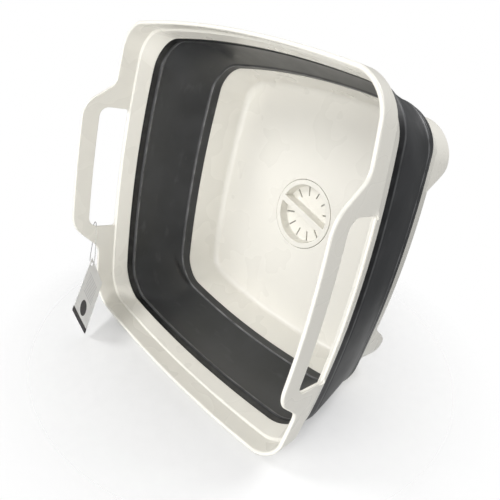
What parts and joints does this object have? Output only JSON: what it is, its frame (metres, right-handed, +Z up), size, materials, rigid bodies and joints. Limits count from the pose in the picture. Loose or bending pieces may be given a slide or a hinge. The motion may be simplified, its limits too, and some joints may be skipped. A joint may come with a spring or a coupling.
{
  "type": "collapsible washbasin",
  "caption": "Square folding washbasin: hard rim with loop handles, soft folding wall, hard tray on corner feet and a twist drain in its floor.",
  "frame": {"origin": "on the ground under the middle of the basin, on the drain's axis", "axes": "+Z up through the opening with the basin on its feet, X from handle to handle, Y along the plain sides' bow"},
  "size_m": [0.3294, 0.3246, 0.2292],
  "materials": {
    "cream_plastic": "satin moulded plastic",
    "charcoal_rubber": "soft moulded rubber",
    "seal_rubber": "matt seal rubber",
    "screw_steel": "plain stainless steel",
    "white_card": "coated white card",
    "clear_loop": "clear plastic loop"
  },
  "bodies": {
    "base": {"base_tray": "cream_plastic", "folding_wall": "charcoal_rubber", "drain_gasket": "seal_rubber"},
    "rim": {"rim_frame": "cream_plastic", "tag_loop": "clear_loop"},
    "dial": {"drain_dial": "cream_plastic", "dial_seal_ring": "seal_rubber", "retaining_washer": "screw_steel", "retaining_screw": "screw_steel"},
    "tag": {"hang_tag": "white_card"}
  },
  "joints": [
    {"name": "collapse", "type": "slide", "parent": "base", "child": "rim", "axis": [0, 0, -1], "range_m": [0, 0.12], "deforming": ["folding_wall"]},
    {"name": "drain_turn", "type": "hinge", "parent": "base", "child": "dial", "pos_m": [0, 0, 0.0142], "axis": [0, 0, 1], "range_deg": [0, 15]},
    {"name": "tag_swing", "type": "hinge", "parent": "rim", "child": "tag", "pos_m": [-0.1327, -0.09958, 0.19], "axis": [0.7133, 0.186, -0.6758], "range_deg": [-60, 0]}
  ]
}
